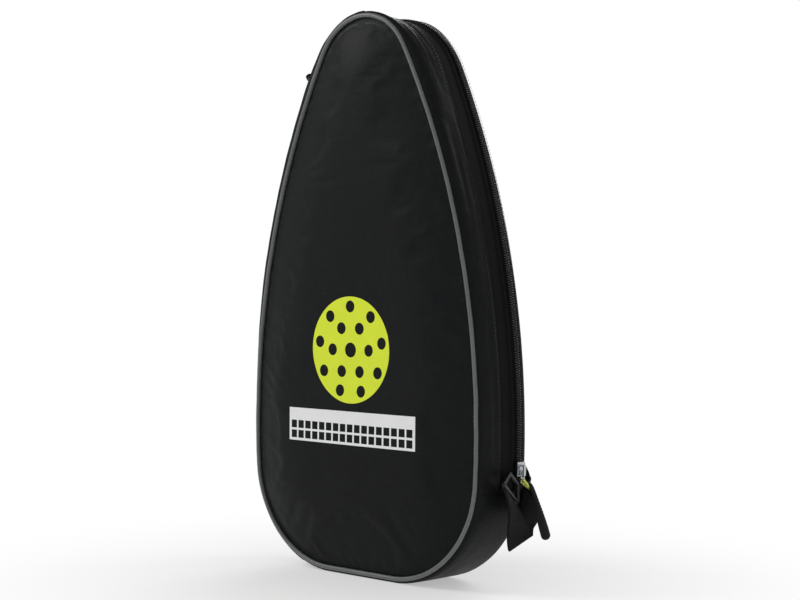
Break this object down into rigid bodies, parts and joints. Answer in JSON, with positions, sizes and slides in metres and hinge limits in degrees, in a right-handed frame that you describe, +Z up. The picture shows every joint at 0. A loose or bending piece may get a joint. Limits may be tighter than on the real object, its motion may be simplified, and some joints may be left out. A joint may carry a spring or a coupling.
{
  "type": "paddle case",
  "caption": "Teardrop zipped fabric case for a pickleball paddle, padded front panel with contrast piping, side gusset with coil zip and a diagonal shoulder strap.",
  "frame": {"origin": "centre of the flat base under the case", "axes": "+X right seen from the front, +Z up to the narrow end, the printed front faces -Y"},
  "size_m": [0.2797, 0.0895, 0.4572],
  "materials": {
    "fabric": "matt woven polyester",
    "padding": "closed cell foam",
    "lining": "smooth",
    "piping": "satin",
    "lime_print": "screen printed",
    "white_print": "screen printed",
    "zip_tape": "woven",
    "zip_coil": "moulded nylon",
    "slider_metal": "bright nickel",
    "pull_cord": "braided",
    "pull_grip": "soft moulded",
    "webbing": "ribbed",
    "ring": "black lacquered"
  },
  "bodies": {
    "case_body": {"back_panel": "fabric", "back_foam": "padding", "back_lining": "lining", "back_piping": "piping", "rear_gusset": "fabric", "bottom_gusset": "fabric", "zip_tape_rear": "zip_tape", "zip_coil_rear": "zip_coil", "front_panel_lower": "fabric", "front_foam_lower": "padding", "front_lining_lower": "lining", "front_piping_lower": "piping", "front_gusset_lower": "fabric", "zip_tape_lower": "zip_tape", "zip_coil_lower": "zip_coil", "zip_end_tabs": "fabric", "lower_strap_tab": "webbing", "upper_strap_tab": "webbing", "strap_lower_end": "webbing", "strap_upper_end": "webbing"},
    "front_flap": {"front_panel": "fabric", "front_foam": "padding", "front_lining": "lining", "front_piping": "piping", "front_gusset": "fabric", "zip_tape_front": "zip_tape", "zip_coil_front": "zip_coil", "print_ball": "lime_print", "print_net": "white_print"},
    "zip_slider": {"slider_body": "slider_metal", "slider_crown": "slider_metal"},
    "pull_tab": {"pull_tab": "slider_metal"},
    "pull_grip": {"pull_cord": "pull_cord", "pull_grip": "pull_grip"},
    "lower_ring": {"lower_ring": "ring"},
    "upper_ring": {"upper_ring": "ring"},
    "shoulder_strap": {"shoulder_strap": "webbing"},
    "strap_adjuster": {"strap_adjuster": "ring"}
  },
  "joints": [
    {"name": "flap_open", "type": "hinge", "parent": "case_body", "child": "front_flap", "pos_m": [0, -0.039, 0.103], "axis": [1, 0, 0], "range_deg": [0, 40]},
    {"name": "slider_travel", "type": "hinge", "parent": "case_body", "child": "zip_slider", "pos_m": [-0.56722, 0.015, 0.1202], "axis": [0, -1, 0], "range_deg": [0, 25.5]},
    {"name": "pull_tab_swing", "type": "hinge", "parent": "zip_slider", "child": "pull_tab", "pos_m": [0.13478, 0.015, 0.09332], "axis": [0, -1, 0], "range_deg": [0, 120]},
    {"name": "pull_grip_swing", "type": "hinge", "parent": "pull_tab", "child": "pull_grip", "pos_m": [0.13451, 0.015, 0.08678], "axis": [0.9993, 0, -0.0361], "range_deg": [-3, 45]},
    {"name": "lower_ring_pivot", "type": "hinge", "parent": "case_body", "child": "lower_ring", "pos_m": [0.13654, 0.00222, 0.08839], "axis": [0.268, -0.8229, 0.501], "range_deg": [-4, 18], "deforming": ["strap_lower_end"]},
    {"name": "upper_ring_pivot", "type": "hinge", "parent": "case_body", "child": "upper_ring", "pos_m": [-0.08306, 0.00961, 0.412], "axis": [0.6919, -0.722, 0], "range_deg": [-20, 20], "deforming": ["strap_upper_end"]},
    {"name": "strap_swing", "type": "hinge", "parent": "case_body", "child": "shoulder_strap", "pos_m": [0.112, 0.037, 0.084], "axis": [-0.5417, 0, 0.8406], "range_deg": [-30, 30]},
    {"name": "adjuster_slide", "type": "slide", "parent": "shoulder_strap", "child": "strap_adjuster", "axis": [-0.5417, 0, 0.8406], "range_m": [-0.06, 0.06]}
  ]
}
